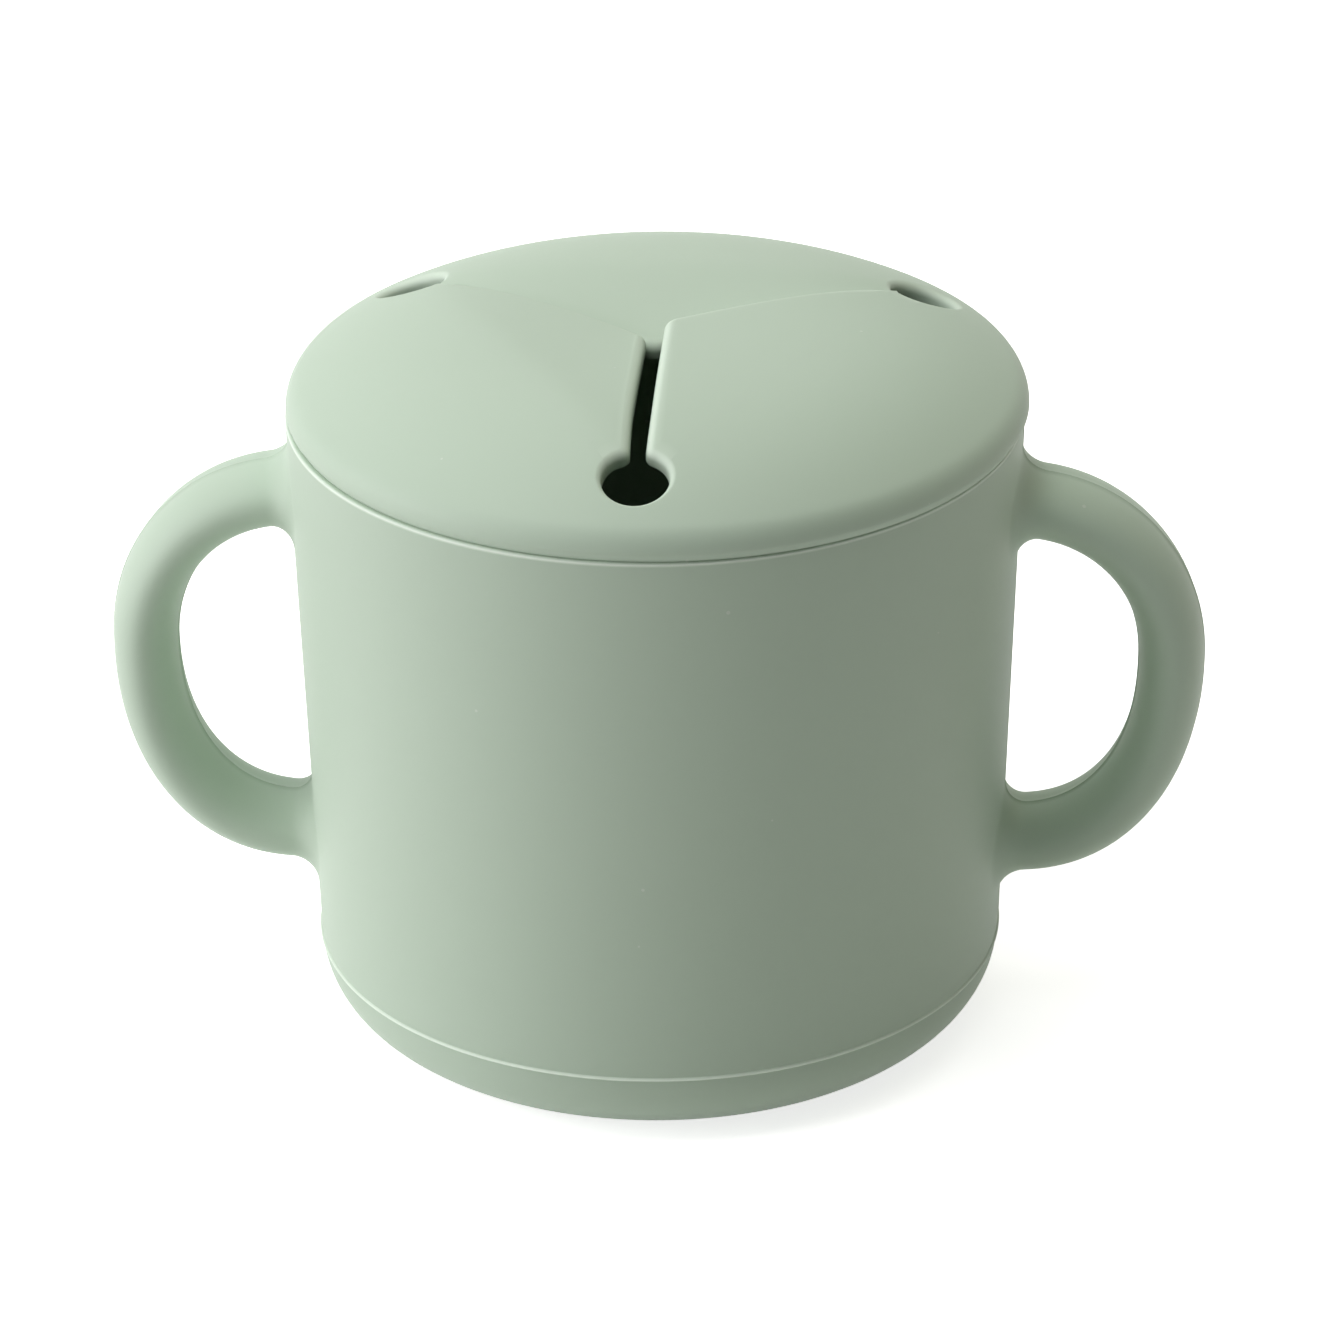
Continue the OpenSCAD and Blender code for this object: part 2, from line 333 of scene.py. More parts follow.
turns = np.radians(np.linspace(90, -90, line_points))
line_power = np.where(turns >= 0, upper_power, lower_power)
line_drop = np.where(turns >= 0, ear_top - ear_middle, ear_bottom - ear_middle)
line_x = ear_root + ear_reach * squared(np.cos(turns).clip(0), line_power)
line_z = ear_middle + line_drop * squared(np.sin(turns), line_power)
line_x = np.concatenate([[ear_root - run_in], line_x, [ear_root - run_in]])
line_z = np.concatenate([[ear_top], line_z, [ear_bottom]])
line_length = np.concatenate([[0], np.cumsum(np.hypot(np.diff(line_x), np.diff(line_z)))])
line_total = line_length[-1]
print("ear width:", round(ear_width, 2), "length of its middle line:", round(line_total - 2 * run_in, 1))

# %% Places on a plain ear and on the wall

slope_step = 0.4


def ear_place(length, angle):
    """Place on an ear without fillets, at a length along its middle line and an angle round its section."""
    x, z = np.interp(length, line_length, line_x), np.interp(length, line_length, line_z)
    ahead = np.clip(length + slope_step, 0, line_total)
    behind = np.clip(length - slope_step, 0, line_total)
    along_x = np.interp(ahead, line_length, line_x) - np.interp(behind, line_length, line_x)
    along_z = np.interp(ahead, line_length, line_z) - np.interp(behind, line_length, line_z)
    size = np.hypot(along_x, along_z)
    out = ear_thickness / 2 * np.sin(angle)
    return np.stack([
        x - along_z / size * out, ear_width / 2 * np.cos(angle) + 0 * x, z + along_x / size * out
    ], axis=-1)


def wall_x(y, z):
    """How far out the cup's wall is, straight along X."""
    return np.sqrt(wall_radius(z) ** 2 - y ** 2)


def border(window):
    """Points round the edge of a window, anticlockwise from outside, from its lower left corner."""
    return np.concatenate([window[0, :-1], window[:-1, -1], window[-1, :0:-1], window[:0:-1, 0]])


def section_angles():
    """Angle round the ear's section that belongs to each point of a window's edge."""
    across = window_angles / window_half_angle
    up = np.linspace(-1, 1, window_rows + 1)
    edge = border(np.stack(np.meshgrid(across, up), axis=-1))
    return np.arctan2(edge[:, 1], edge[:, 0])


ear_angles = section_angles()
print("points round an ear:", len(ear_angles))

# %% The rings of a root, over the wall and through the fillet

over_wall, round_steps = 5, 9
search_length, search_points = run_in + 8, 400
quarter_turn_handle = 0.5523


def root_rings(angle, upper):
    """The fillet's foot on the wall, the rings from there on to the ear, and where they leave the fillet."""
    tries = np.linspace(0, search_length, search_points)
    lengths = tries if upper else line_total - tries
    trail = np.array([ear_place(lengths, a) for a in angle])
    gap = trail[..., 0] - wall_x(trail[..., 1], trail[..., 2])
    meet = np.array([np.interp(0, gap[k], lengths) for k in range(len(angle))])
    corner = ear_place(meet, angle)
    leave = meet + (ear_fillet if upper else -ear_fillet)
    end = ear_place(leave, angle)
    lean = np.stack([np.cos(angle) / ear_width, np.sin(angle) / ear_thickness], axis=-1)
    lean /= np.linalg.norm(lean, axis=1, keepdims=True)
    foot_y = corner[:, 1] + ear_fillet * lean[:, 0]
    foot_z = corner[:, 2] + ear_fillet * lean[:, 1] * (1 if upper else -1)
    foot = np.stack([wall_x(foot_y, foot_z), foot_y, foot_z], axis=-1)
    first, last = foot + quarter_turn_handle * (corner - foot), end + quarter_turn_handle * (corner - end)
    rings = []
    for t in np.linspace(0, 1, round_steps + 1):
        rings.append(
            (1 - t) ** 3 * foot + 3 * t * (1 - t) ** 2 * first + 3 * t * t * (1 - t) * last + t ** 3 * end
        )
    return foot, np.array(rings), leave


def flank_rings(edge, foot):
    """Rings on the wall between a window's edge and the foot of the fillet."""
    edge_angle, foot_angle = np.arctan2(edge[:, 1], edge[:, 0]), np.arctan2(foot[:, 1], foot[:, 0])
    rings = []
    for t in np.arange(1, over_wall) / over_wall:
        angle = (1 - t) * edge_angle + t * foot_angle
        z = (1 - t) * edge[:, 2] + t * foot[:, 2]
        rings.append(np.stack([wall_radius(z) * np.cos(angle), wall_radius(z) * np.sin(angle), z], axis=-1))
    return np.array(rings)


# The ear is worked out on the +X side; the other is the same sheet turned half round the axis
right_upper, right_lower = border(windows["right", "upper"]), border(windows["right", "lower"][::-1])
upper_edge, lower_edge = np.array(cup.points)[right_upper], np.array(cup.points)[right_lower]
upper_foot, upper_fillet, upper_leave = root_rings(ear_angles, True)
lower_foot, lower_fillet, lower_leave = root_rings(ear_angles, False)
print("rings of a root:", over_wall - 1 + len(upper_fillet))

# %% The sheet of one ear, from window to window, and the finished cup

grip_steps = 76
on_the_line = 1e-9


def raise_seam(rings, columns_to_raise):
    """Lifts the parting line off the sheet along the sheet's own normals."""
    across = np.roll(rings, -1, axis=1) - np.roll(rings, 1, axis=1)
    along = np.gradient(rings, axis=0)
    normal = np.cross(across, along)
    normal /= np.linalg.norm(normal, axis=-1, keepdims=True)
    lifted = rings.copy()
    for c in columns_to_raise:
        lifted[:, c] += seam_ridge * normal[:, c]
    return lifted


shares = np.linspace(0, 1, grip_steps + 1)[1:-1, None]
grip = ear_place(upper_leave + (lower_leave - upper_leave) * shares, ear_angles)
ear_sheet = np.concatenate([
    flank_rings(upper_edge, upper_foot), upper_fillet, grip,
    lower_fillet[::-1], flank_rings(lower_edge, lower_foot)[::-1],
])
seam_columns = [k for k, a in enumerate(ear_angles) if abs(math.cos(a)) < on_the_line]
ear_sheet = raise_seam(ear_sheet, seam_columns)

for side, sign in (("right", 1), ("left", -1)):
    this_ear = ear_sheet * np.array([sign, sign, 1])
    top = border(windows[side, "upper"])
    bottom = border(windows[side, "lower"][::-1])
    cup.sheet(np.concatenate([[top], cup.add(this_ear), [bottom]]), closed=True)

cup_skin = cup.piece("cup_moulding")
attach(cup_skin, "cup")
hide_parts("cup", "left_handle", "right_handle")

# %% [markdown]
# ## The snack lid
#
# The crown is a low dome that falls faster and faster towards its edge. A stretch of a ball would be rounder
# in the middle, so its height follows a power of the radius instead. Three slots and three round relief
# holes cut it into flaps, and every cut edge has the small round that the mould gives it: the outline is
# simply worked out again at each inset.

# %% The crown's surface

crown_top = cad_high[2] / MM
crown_power = 3.7
crown_drop = 5.9
crown_edge = 3.7
crown_thickness = 2.2
crown_overhang = 0.25
edge_centre = mouth_radius + crown_overhang - crown_edge
hole_distance = 36.8


def crown_slope(r):
    """How steeply the crown falls at a radius."""
    return crown_drop * crown_power / edge_centre * (r / edge_centre) ** (crown_power - 1)


def in_crown(x, y, depth=0.0):
    """Place at a depth below the crown's surface, square to it, above a point of the plan."""
    r = np.hypot(x, y)
    slope = crown_slope(r)
    lean = np.sqrt(1 + slope ** 2)
    unit = np.where(r > 0, r, 1)
    z = crown_top - crown_drop * (r / edge_centre) ** crown_power
    inward = depth * slope / lean / unit
    return np.stack([x - x * inward, y - y * inward, z - depth / lean], axis=-1)


print("crown top:", round(crown_top, 2), "at the relief holes:", np.round(in_crown(hole_distance, 0.0)[2], 2))

# %% The steps of a cut edge: inset and depth, over the top round, down and round the lower edge

top_edge_round, under_edge_round = 1.2, 0.3
top_round_steps, under_round_steps = 9, 4
edge_steps = [
    (top_edge_round * (1 - math.cos(a)), top_edge_round * (1 - math.sin(a)))
    for a in np.linspace(math.pi / 2, 0, top_round_steps + 1)
] + [
    (under_edge_round * (1 - math.cos(a)), crown_thickness - under_edge_round * (1 - math.sin(a)))
    for a in np.linspace(0, math.pi / 2, under_round_steps + 1)
]
print("steps of a cut edge:", len(edge_steps))

# %% The slots


class Slot:
    """One edge of a slot: half the slot's width, its share of the full round, and its corner at the hole."""

    def __init__(self, half, softness, corner):
        self.half = half
        self.softness = softness
        self.corner = corner


open_slot = Slot(half=0.85, softness=1.0, corner=1.5)
narrow_slot_front = Slot(half=0.15, softness=1.0, corner=0.3)
narrow_slot_back = Slot(half=0.15, softness=0.3, corner=0.3)
shut_slot = Slot(half=0.1, softness=0.12, corner=0.8)
flap_count = 3
half_turn = math.pi / flap_count
hole_radius = 4.05
band_width = 4.0
bend_line = hole_distance * math.cos(half_turn)
bend_edge = bend_line + band_width / 2
print("bending bands start", round(bend_edge, 2), "mm from the middle")

# %% The outline of a flap, inset by any amount

tip_points, side_points, corner_points, hole_points = 9, 25, 9, 9
least_radius = 0.02
plain_tip = 2.0


def slot_frame(angle):
    """Directions along a slot, outwards, and square to it, towards the flap before it."""
    return np.array([math.cos(angle), math.sin(angle)]), np.array([math.sin(angle), -math.cos(angle)])


def last_hole_angle(inset):
    """Where the hole's outline crosses the line at which the bending band starts."""
    return math.acos(-(bend_edge - bend_line) / (hole_radius + inset)) - half_turn


def half_outline(inset, tip=plain_tip, slot=open_slot, other_slot=open_slot):
    """One side of a flap from its tip to the bending band, for a flap that points along +X."""
    along, across = slot_frame(half_turn)
    tip_radius, corner_radius = max(tip - inset, least_radius), max(slot.corner - inset, least_radius)
    tip_centre = np.array([
        (slot.half + other_slot.half + 2 * tip) / 2 / math.sin(half_turn),
        (other_slot.half - slot.half) / 2 / math.cos(half_turn),
    ])
    offset = slot.half + slot.corner
    back = math.sqrt((hole_radius + slot.corner) ** 2 - offset ** 2)
    corner = (hole_distance - back) * along + offset * across
    places = [
        tip_centre + tip_radius * np.array([-math.cos(a), math.sin(a)])
        for a in np.linspace(0, math.pi / 2 - half_turn, tip_points)
    ]
    line_end = corner - corner_radius * across
    places += [places[-1] + (line_end - places[-1]) * t for t in np.linspace(0, 1, side_points)[1:]]
    places += [
        corner + corner_radius * (math.sin(a) * along - math.cos(a) * across)
        for a in np.linspace(0, math.atan2(back, offset), corner_points)[1:]
    ]
    places += [
        hole_distance * along + (hole_radius + inset) * (math.sin(a) * across - math.cos(a) * along)
        for a in np.linspace(math.atan2(offset, back), last_hole_angle(inset), hole_points)[1:]
    ]
    return np.array(places)


band_columns = 60
band_angle = math.atan2(half_outline(top_edge_round)[-1, 1], bend_edge)
band_shares = np.tan(np.linspace(-band_angle, band_angle, band_columns + 1)) / math.tan(band_angle)
print("flap points on each side:", len(half_outline(0.0)))

# %% How soft a cut edge is from place to place

near_softness, far_softness = 0.3, 1.0
fade_points = 8


def turned(places, angle):
    """Plan places turned about the middle of the lid."""
    c, s = math.cos(angle), math.sin(angle)
    return places @ np.array([[c, s], [-s, c]])


def softened(sharp, inset_places, depth, softness):
    """One step of a cut edge that has only a share of the full round: places, depths and painted highlight.
    """
    under = crown_thickness - depth
    depths = depth * softness if depth < under else crown_thickness - under * softness
    turned_over = math.acos(np.clip(1 - depth / top_edge_round, 0, 1))
    # The painted highlight is strongest halfway round the top round of the cut edge.
    return sharp + softness[:, None] * (inset_places - sharp), depths, softness * math.sin(2 * turned_over)


def hole_softness(places, hole_angle):
    """Share of the full round at places round a hole, which is sharper on the side that faces the front."""
    from_middle = places - hole_distance * np.array([math.cos(hole_angle), math.sin(hole_angle)])
    facing_back = (1 + from_middle[:, 1] / np.linalg.norm(from_middle, axis=1)) / 2
    return near_softness + (far_softness - near_softness) * facing_back


def flap_side(angle, side, tip, slot, other_slot):
    """Steps of the cut edge along one side, 1 or -1, of a flap that points at an angle."""
    mirror, least = np.array([1, side]), slot.softness
    sharp = half_outline(0.0, tip, slot, other_slot) * mirror
    at_hole = hole_softness(turned(sharp[-hole_points:], angle), angle + side * half_turn)
    softness = np.concatenate([
        np.ones(tip_points - 1),
        np.linspace(1, least, fade_points),
        np.full(side_points - fade_points, least),
        np.linspace(least, at_hole[0], corner_points)[1:-1],
        at_hole,
    ])
    return [
        softened(sharp, half_outline(inset, tip, slot, other_slot) * mirror, depth, softness)
        for inset, depth in edge_steps
    ]


print("steps of one side of a flap:", len(flap_side(0.0, 1, plain_tip, open_slot, open_slot)))

# %% [markdown]
# ## The flaps
#
# On the real lid rim and flaps are one skin, and the flaps bend where they meet the rim. One skin for all
# could not follow four bodies, so it is parted where the lid begins to bend, in four pieces that meet point
# for point. Each flap's skin runs from the edge of the rim through its bending band to its tip. At rest the
# flaps droop, lean and touch as soft flaps do, each by its own amount. A painted highlight along the cut
# edges stands in for the light they catch. Its amount goes with the points, for the finish to use.

# %% The skin of one flap

lid_turn = math.radians(-0.6)
lid_shift = np.array([0.35, 0.0])
lean_reach = 9.0
# Strength of the painted highlight along a flap's slot edges, and how fast it fades inwards, in millimetres.
flap_edge_highlight_paint, flap_edge_highlight_fade = 0.3, 0.5


def hang(length, droop):
    """How far a flap hangs at a length from its band's edge: it curves first, then runs straight."""
    slope = math.tan(math.radians(droop))
    return slope * np.where(length < band_width, length ** 2 / 2 / band_width, length - band_width / 2)


def flap_skin(name, angle, droop, lean, tip, slots):
    """A flap with its bending band. It droops from the band inwards and leans a little, as soft flaps do."""
    skin = Moulding(lid_turn, lid_shift)
    before, after = slots
    left = flap_side(angle, 1, tip, after, before)
    right = flap_side(angle, -1, tip, before, after)
    left_top, right_top = left[0][0], right[0][0]
    left_under, right_under = left[-1][0], right[-1][0]
    half_width = np.linalg.norm(left_top - right_top, axis=1) / 2
    loops = []
    for share in band_shares:
        plan = (left_top + right_top) / 2 + (left_top - right_top) / 2 * share
        near_edge = np.exp(-half_width * (1 - abs(share)) / flap_edge_highlight_fade)
        # The flap's top gets a painted highlight along its slot edges.
        loops.append((plan, 0.0, flap_edge_highlight_paint * near_edge * (after if share > 0 else before).softness))
    loops += left[1:-1]
    for share in band_shares[::-1]:
        plan = (left_under + right_under) / 2 + (left_under - right_under) / 2 * share
        loops.append((plan, crown_thickness, 0.0))
    loops += right[-2:0:-1]
    places, highlight_paint = [], []
    for plan, depth, painted_highlight in loops:
        spot = turned(plan, angle)
        place = in_crown(spot[:, 0], spot[:, 1], depth)
        length = bend_edge - plan[:, 0]
        place[:, 2] -= hang(length, droop)
        share = np.clip(length / lean_reach, 0, 1)
        place[:, :2] += np.outer(share ** 2 * (3 - 2 * share), lean)
        places.append(place)
        highlight_paint.append(painted_highlight + 0 * length)
    grid = skin.add(np.array(places).transpose(1, 0, 2), np.array(highlight_paint).T)
    skin.sheet(grid, closed=True)
    wide, last = band_columns + 1, grid[-1]
    profile = len(edge_steps) - 2
    top, under = last[:wide], last[wide + profile:2 * wide + profile][::-1]
    skin.sheet(np.array([top, under]))
    skin.faces.append([top[-1], *last[wide:wide + profile], under[-1]])
    skin.faces.append([under[0], *last[2 * wide + profile:], top[0]])
    return skin.piece(name)


# %% The three flaps

flap_droop = {"right": -0.8, "left": 6.6, "back": 10.8}
flap_lean = {"right": (0.15, 0.1), "left": (-0.45, 0.1), "back": (-0.2, 0.0)}
flap_tip = {"right": 2.6, "left": 1.4, "back": 2.6}
flap_slots = {
    "right": (open_slot, narrow_slot_front),
    "back": (narrow_slot_back, shut_slot),
    "left": (shut_slot, open_slot),
}
flap_at = {"right": -half_turn / 2, "back": math.pi / 2, "left": math.pi + half_turn / 2}
bend_height = in_crown(hole_distance - hole_radius, 0.0)[2]
for side, angle in flap_at.items():
    skin = flap_skin(
        f"flap_{side}_skin", angle, flap_droop[side], flap_lean[side], flap_tip[side], flap_slots[side]
    )
    outward = Vector((math.cos(angle), math.sin(angle), 0)) * MM
    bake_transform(skin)
    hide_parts(f"flap_{side}", f"hinge_{side}")

# %% [markdown]
# ## The rim
#
# The rim carries the flaps, closes the cup with a skirt that plugs into its mouth, and has two small ribs
# that seal against the wall; here they stop just short of it. It could be turned like the cup, but its inner
# edge follows the flaps and the relief holes. So its sheet starts at that edge, runs out to a circle, round
# the section and back underneath.

# %% The section of the rim, outside the crown's cuts

rim_low, _ = box_mm("lid_rim")
skirt_end = rim_low[2]
skirt_room, skirt_thickness = 0.45, 1.5
skirt_end_round, skirt_inner_round = 0.6, 0.2
rib_room, rib_height = 0.35, 1.4
rib_shares = (0.35, 0.75)
rib_lifts = (0.5, 0.25, 0.0, -0.25, -0.5)
rim_circle = 42.6
under_circle = 41.5
side_draft = 0.3
lower_round = 0.15
edge_start, edge_tries = 0.4, 8
for _ in range(edge_tries):
    edge_start = math.atan(crown_slope(edge_centre + crown_edge * math.sin(edge_start)))
edge_radius = edge_centre + crown_edge * math.sin(edge_start)
edge_z = in_crown(edge_radius, 0.0)[2] - crown_edge * math.cos(edge_start)


def skirt_radius(z):
    """Radius of the skirt's outside, which follows the draft of the cup's wall."""
    return wall_radius(z) - wall - skirt_room


rim_section = [tuple(in_crown(r, 0.0)[[0, 2]]) for r in np.linspace(rim_circle, edge_radius, 5)]
rim_section += arc((edge_centre, edge_z), crown_edge, 90 - math.degrees(edge_start), 0, steps=10)[1:]
lower_centre = (mouth_radius - side_draft - lower_round, mouth_height + lower_round)
rim_section += arc(lower_centre, lower_round, 0, -90, steps=5)
rim_section += [(skirt_radius(mouth_height), mouth_height)]
for share in rib_shares:
    rib_z = mouth_height + (skirt_end - mouth_height) * share
    for lift in rib_lifts:
        stand = (skirt_room - rib_room) * math.cos(math.pi * lift)
        rim_section.append((skirt_radius(rib_z) + stand, rib_z + lift * rib_height))
end_centre = (skirt_radius(skirt_end) - skirt_end_round, skirt_end + skirt_end_round)
rim_section += arc(end_centre, skirt_end_round, 0, -90, steps=4)
skirt_inside = mouth_radius - wall - skirt_room - skirt_thickness
rim_section += [(skirt_inside + skirt_inner_round, skirt_end), (skirt_inside, skirt_end + skirt_inner_round)]
inside_start, inside_gap = skirt_end + 2, 1
inside_stop = in_crown(under_circle, 0.0, crown_thickness)[2] - inside_gap
rim_section += [(skirt_inside, z) for z in np.linspace(inside_start, inside_stop, 5)]
print("rim section points:", len(rim_section), "crown edge starts at", round(edge_radius, 2))

# %% The inner edge of the rim

hole_steps = 30


def flap_middle(k):
    """Angle of the middle of flap number k, counted from the right one."""
    return -half_turn / 2 + 2 * half_turn * k


def hole_arc(inset, angle):
    """The part of a relief hole that lies in the rim, from one flap's band to the next one's."""
    along, across = slot_frame(angle)
    first = last_hole_angle(inset)
    return np.array([
        hole_distance * along + (hole_radius + inset) * (math.sin(a) * across - math.cos(a) * along)
        for a in np.linspace(first, 2 * math.pi - first, hole_steps + 1)
    ])


def hole_edge(inset, depth, angle):
    """One step of the cut edge round a hole in the rim."""
    sharp = hole_arc(0.0, angle)
    return softened(sharp, hole_arc(inset, angle), depth, hole_softness(sharp, angle))


def cut_loop(inset):
    """Inner outline of the rim, anticlockwise: for each flap its band's edge, then the hole after it."""
    loop = []
    for k in range(flap_count):
        angle = flap_middle(k)
        start = hole_edge(inset, 0.0, angle - half_turn)[0][-1]
        after = hole_edge(inset, 0.0, angle + half_turn)[0]
        loop.append((start + after[0]) / 2 + np.outer(band_shares, (after[0] - start) / 2))
        loop.append(after[1:-1])
    return np.concatenate(loop)


top_loop = cut_loop(top_edge_round)
under_loop = cut_loop(under_edge_round)
print("points round the rim's inner edge:", len(top_loop))

# %% The rim's sheet, from the inner edge out, round the section and back underneath

hole_spread = math.radians(18)
band_spread = half_turn - hole_spread
crown_rows = 22
ring_angles = []
for k in range(flap_count):
    middle = flap_middle(k)
    ring_angles += list(middle + np.linspace(-band_spread, band_spread, band_columns + 1))
    ring_angles += list(middle + half_turn + np.linspace(-hole_spread, hole_spread, hole_steps + 1)[1:-1])
ring_angles = np.array(ring_angles)
circle = np.stack([np.cos(ring_angles), np.sin(ring_angles)], axis=-1)

rows = []
for t in np.linspace(0, 1, crown_rows + 1)[:-1]:
    plan = top_loop + (rim_circle * circle - top_loop) * t
    rows.append(in_crown(plan[:, 0], plan[:, 1]))
for r, z in rim_section:
    rows.append(np.stack([r * np.cos(ring_angles), r * np.sin(ring_angles), z + 0 * ring_angles], axis=-1))
for t in np.linspace(1, 0, crown_rows + 1):
    plan = under_loop + (under_circle * circle - under_loop) * t
    rows.append(in_crown(plan[:, 0], plan[:, 1], crown_thickness))
rim = Moulding(lid_turn, lid_shift)
rim_grid = rim.add(np.array(rows))
rim.sheet(rim_grid, closed=True)
print("rows of the rim's sheet:", len(rows), "points in each:", len(ring_angles))

# %% The walls of the relief holes, and the finished rim

group = band_columns + hole_steps
for k in range(flap_count):
    start = k * group
    band = np.arange(start, start + band_columns + 1)
    rim.sheet(np.array([rim_grid[0, band], rim_grid[-1, band]]))
    hole_columns = np.arange(start + band_columns, start + group + 1) % len(ring_angles)
    # The steps round each relief hole carry their painted highlight.
    between, highlight_paint = [], []
    for inset, depth in edge_steps[1:-1]:
        plan, depths, painted_highlight = hole_edge(inset, depth, flap_middle(k) + half_turn)
        between.append(in_crown(plan[:, 0], plan[:, 1], depths))
        highlight_paint.append(painted_highlight)
    wall_grid = rim.add(np.array(between), np.array(highlight_paint))
    strip = np.concatenate([[rim_grid[0, hole_columns]], wall_grid, [rim_grid[-1, hole_columns]]])
    rim.sheet(strip)
    rim.faces.append(list(strip[:, 0]))
    rim.faces.append(list(strip[::-1, -1]))

rim_skin = rim.piece("lid_rim_skin")
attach(rim_skin, "lid")
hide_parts("lid_rim")

# %% [markdown]
# ## The finish
#
# Moulded silicone is matte because the mould is finely blasted. It has no pattern, but it is never one flat
# tone: the pigment drifts a little, the blasted skin breaks up the light, and its tacky surface picks up
# specks of dust. Light could be traced through the skin, but that is slow and can't be stored in a picture
# of the surface. The bright lines that the cup's lip, the raised ring and the cut edges catch are a painted
# highlight: those places are mixed towards a paler colour. The shader is written as maths on sockets, with a
# small class that overloads the operators.

# %% Shader maths as Python maths


class Wire:
    """A socket whose value can be used in Python expressions, which add the Math nodes."""

    def __init__(self, graph, socket):
        self.graph = graph
        self.socket = socket

    def maths(self, operation, first, second):
        return self.graph.node("ShaderNodeMath", {"operation": operation}, {0: first, 1: second})

    def __add__(self, other):
        return self.maths("ADD", self, other)

    def __radd__(self, other):
        return self.maths("ADD", other, self)

    def __sub__(self, other):
        return self.maths("SUBTRACT", self, other)

    def __rsub__(self, other):
        return self.maths("SUBTRACT", other, self)

    def __mul__(self, other):
        return self.maths("MULTIPLY", self, other)

    def __rmul__(self, other):
        return self.maths("MULTIPLY", other, self)

    def __or__(self, other):
        return self.maths("MAXIMUM", self, other)

    def __ror__(self, other):
        return self.maths("MAXIMUM", other, self)

    def __abs__(self):
        return self.maths("ABSOLUTE", self, 0.0)

    def __lt__(self, other):
        return self.maths("LESS_THAN", self, other)

    def __gt__(self, other):
        return self.maths("GREATER_THAN", self, other)


class Finish:
    """The nodes of a material or a world, and the one method that adds a node to them."""

    def __init__(self, owner):
        self.owner = owner
        owner.use_nodes = True
        self.tree = owner.node_tree
        self.tree.nodes.clear()

    def node(self, kind, settings=None, sockets=None, out=0):
        """Adds a node, sets it up, fills or links its sockets, and returns one output, or several."""
        made = self.tree.nodes.new(kind)
        for name, value in (settings or {}).items():
            setattr(made, name, value)
        for name, value in (sockets or {}).items():
            if isinstance(value, Wire):
                self.tree.links.new(value.socket, made.inputs[name])
            else:
                made.inputs[name].default_value = value
        if isinstance(out, tuple):
            return [Wire(self, made.outputs[name]) for name in out]
        return Wire(self, made.outputs[out]) if made.outputs else made


# %% Colours, and a mix of two


def linear(red, green, blue):
    """A colour as it is seen on a screen, 0 to 255, as the linear colour that shaders use."""
    seen = (red, green, blue)
    return [(v / 255 / 12.92 if v <= 10 else ((v / 255 + 0.055) / 1.055) ** 2.4) for v in seen] + [1]


def mixed(finish, share, first, second):
    """Two colours mixed, all of the first at a share of 0 and all of the second at 1."""
    return finish.node("ShaderNodeMix", {"data_type": "RGBA"}, {"Factor": share, 6: first, 7: second}, out=2)


sage = linear(184, 203, 183)
# The paler colour that the painted highlights are mixed towards.
painted_highlight_colour = linear(232, 246, 230)
dust_colour = linear(226, 230, 222)
print("sage as a linear colour:", [round(v, 3) for v in sage[:3]])

# %% Specks of dust, and painted highlights

speck_scale, speck_least, speck_spread = 210.0, 0.012, 0.045
dust_amount = 0.42
# Strength of the painted highlight round the cut edges, and the heights and half widths of the painted
# highlight lines at the raised ring and the lip.
edge_highlight_paint = 0.45
painted_highlight_lines = ((base_round_height + 0.05, 0.3), (mouth_height - 0.26, 0.32))


def specks(finish, place):
    """1 inside a speck of dust, 0 elsewhere: some cells of a fine pattern hold one, each of its own size."""
    distance, colour = finish.node(
        "ShaderNodeTexVoronoi", {"feature": "F1"},
        {"Vector": place, "Scale": speck_scale, "Randomness": 1.0}, out=("Distance", "Color"),
    )
    chance, size = finish.node("ShaderNodeSeparateColor", sockets={"Color": colour}, out=("Red", "Green"))
    return (distance < size * speck_spread + speck_least) * (chance < dust_amount)


def painted_highlights(finish, place, lines):
    """How much painted highlight each place gets: at the cut edges, and at lines given by their height and
    half width.
    """
    _, _, height = finish.node("ShaderNodeSeparateXYZ", sockets={"Vector": place}, out=("X", "Y", "Z"))
    painted_highlight = finish.node("ShaderNodeAttribute", {"attribute_name": "painted_highlight"}, out="Fac") * edge_highlight_paint
    for line_height, line_half in lines:
        painted_highlight = painted_highlight | (1.0 - abs(height - line_height * MM) * (1 / (line_half * MM)))
    return painted_highlight


print("thin lines of the cup, heights:", [round(line_height, 2) for line_height, _ in painted_highlight_lines])

# %% Matte silicone

drift_scale, blast_scale = 45.0, 2200.0
drift_share, blast_share = 0.09, 0.05
deepest, palest = 0.93, 1.07
dust_share = 0.35
plain_roughness, blast_roughness, dust_roughness = 0.56, 0.12, 0.1
bump_strength, bump_depth, dust_bump = 0.12, 0.04 * MM, 0.6


